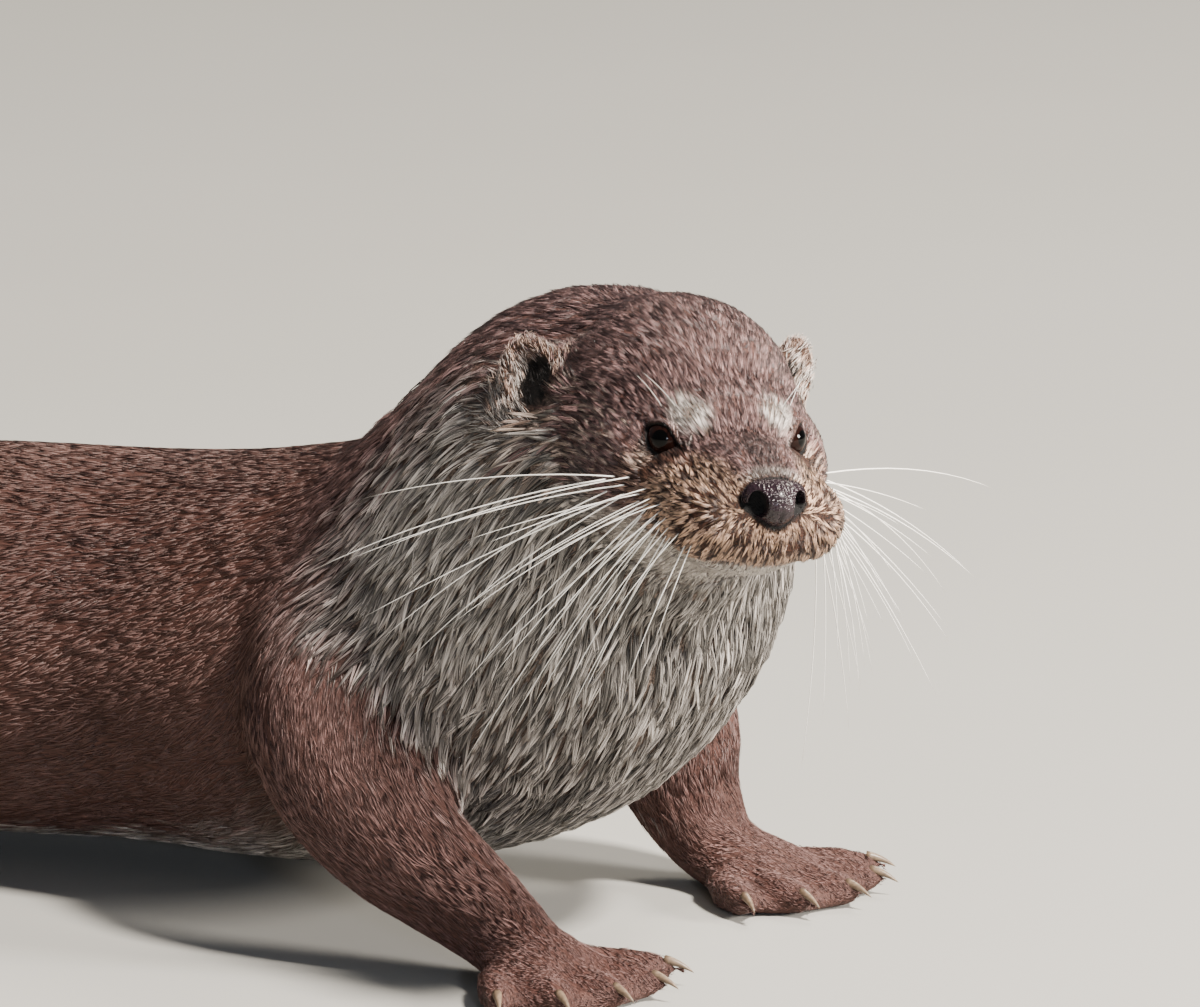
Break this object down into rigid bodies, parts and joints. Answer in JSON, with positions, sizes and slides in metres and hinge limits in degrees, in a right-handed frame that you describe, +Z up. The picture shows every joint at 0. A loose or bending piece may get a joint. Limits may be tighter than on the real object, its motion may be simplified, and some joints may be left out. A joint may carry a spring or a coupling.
{
  "type": "eurasian otter model",
  "caption": "Life-size still model of a eurasian otter, crouching low on four webbed feet with its head raised and turned to its right, and a long tapered tail on the floor.",
  "frame": {"origin": "on the floor, below the middle of the box round the whole animal", "axes": "+X along the trunk towards the head, +Y to the otter's left, +Z up"},
  "size_m": [0.8942, 0.389, 0.1965],
  "materials": {
    "coat_brown": "short damp brown fur",
    "coat_pale": "pale grey-cream fur in damp locks",
    "nose_skin": "wet pebbled bare skin",
    "foot_skin": "short fur over webbed feet with bare soles",
    "eye": "glossy dark brown",
    "claw": "satin horn",
    "whisker": "satin pale bristle"
  },
  "bodies": {
    "root": {"head": "coat_brown", "ear_left": "coat_brown", "ear_right": "coat_brown", "eye_left": "eye", "eye_right": "eye", "nose": "nose_skin", "neck": "coat_pale", "shoulders": "coat_brown", "trunk": "coat_brown", "rump": "coat_brown", "tail_base": "coat_brown", "tail_middle": "coat_brown", "tail_tip": "coat_brown", "foreleg_left": "coat_brown", "foreleg_right": "coat_brown", "forefoot_left": "foot_skin", "forefoot_right": "foot_skin", "hindleg_left": "coat_brown", "hindleg_right": "coat_brown", "hindfoot_left": "foot_skin", "hindfoot_right": "foot_skin"}
  },
  "joints": []
}
